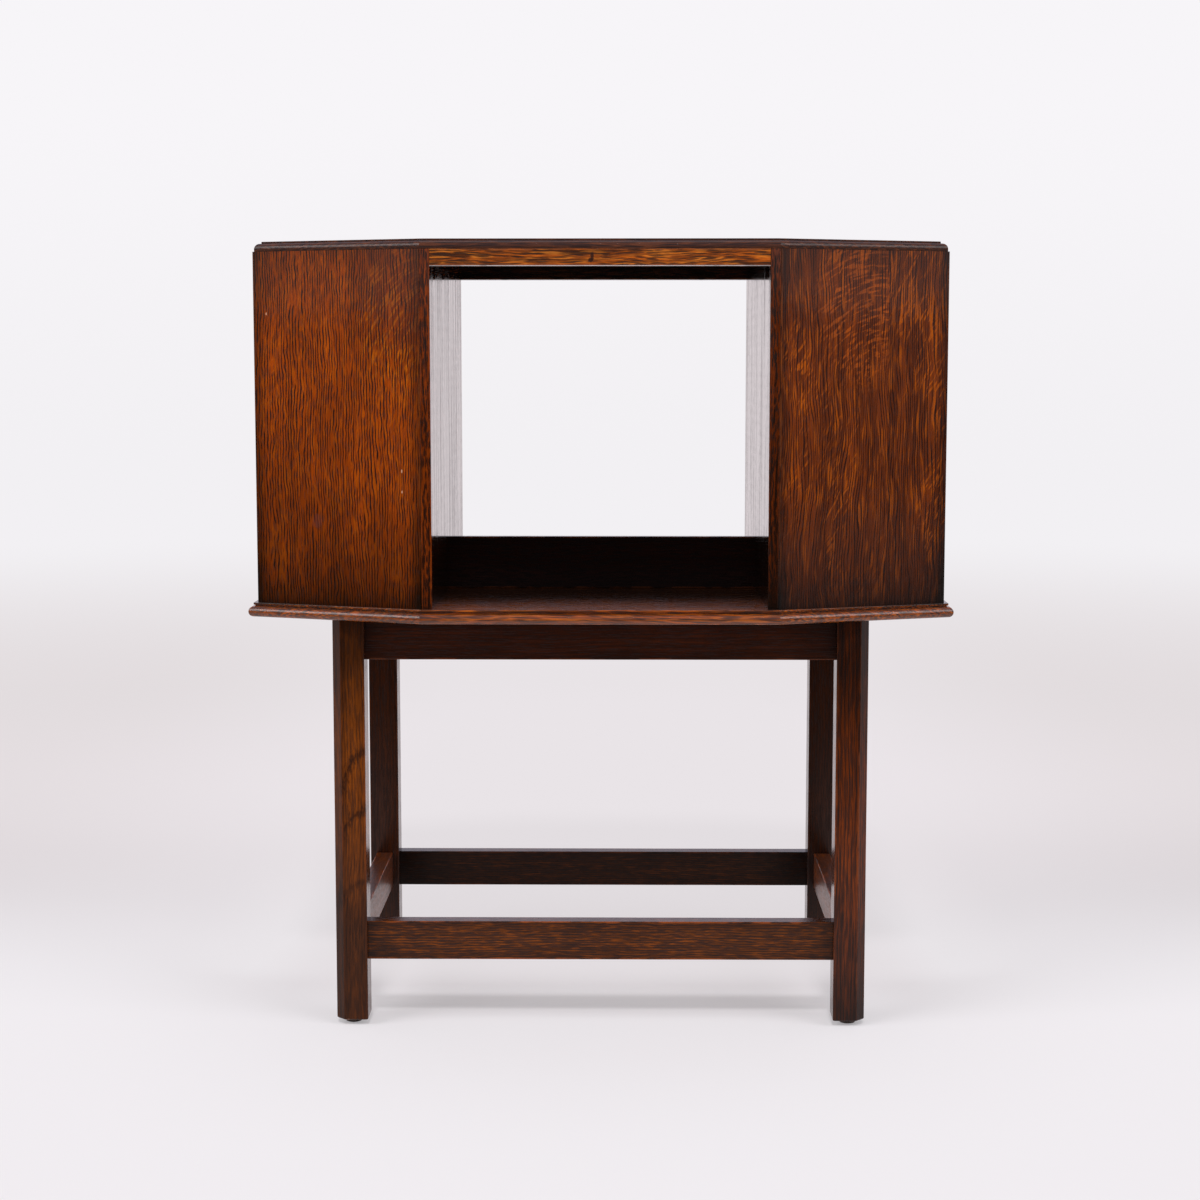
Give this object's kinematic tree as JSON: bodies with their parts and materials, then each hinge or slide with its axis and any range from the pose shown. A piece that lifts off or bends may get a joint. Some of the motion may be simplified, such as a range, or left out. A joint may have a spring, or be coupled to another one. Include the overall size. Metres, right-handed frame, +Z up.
{
  "type": "side table bookcase",
  "caption": "Eight-sided oak side table with open book bays on all sides, on a joined frame with legs, stretchers and foot glides.",
  "frame": {"origin": "on the ground, under the middle of the case", "axes": "+Z up, X along the width of the case, +Y from the front face to the back face"},
  "size_m": [0.628, 0.391, 0.699],
  "materials": {
    "oak_top": "dark stained oak, wax polished",
    "oak_floor": "stained oak, wax polished",
    "oak_panel": "stained quarter-sawn oak, polished",
    "oak_wall": "dark stained oak, glossy polish",
    "oak_rail": "stained oak, polished",
    "oak_frame": "dark stained oak, satin polish",
    "bare_block": "unpolished softwood",
    "glide_metal": "dark oxidised steel",
    "screw_metal": "dull steel"
  },
  "bodies": {
    "root": {"top_board": "oak_top", "floor_board": "oak_floor", "canted_panel_front_left": "oak_panel", "canted_panel_front_right": "oak_panel", "canted_panel_back_left": "oak_panel", "canted_panel_back_right": "oak_panel", "inner_wall_left": "oak_wall", "inner_wall_right": "oak_wall", "centre_divider": "oak_wall", "top_rail_front": "oak_rail", "top_rail_back": "oak_rail", "top_rail_left": "oak_rail", "top_rail_right": "oak_rail", "leg_front_left": "oak_frame", "leg_front_right": "oak_frame", "leg_back_left": "oak_frame", "leg_back_right": "oak_frame", "apron_front": "oak_frame", "apron_back": "oak_frame", "apron_left": "oak_frame", "apron_right": "oak_frame", "stretcher_front": "oak_frame", "stretcher_back": "oak_frame", "stretcher_left": "oak_frame", "stretcher_right": "oak_frame", "corner_block_front_left": "bare_block", "corner_block_front_right": "bare_block", "corner_block_back_left": "bare_block", "corner_block_back_right": "bare_block", "foot_glide_front_left": "glide_metal", "foot_glide_front_right": "glide_metal", "foot_glide_back_left": "glide_metal", "foot_glide_back_right": "glide_metal", "top_screws": "screw_metal", "base_screws": "screw_metal"}
  },
  "joints": []
}
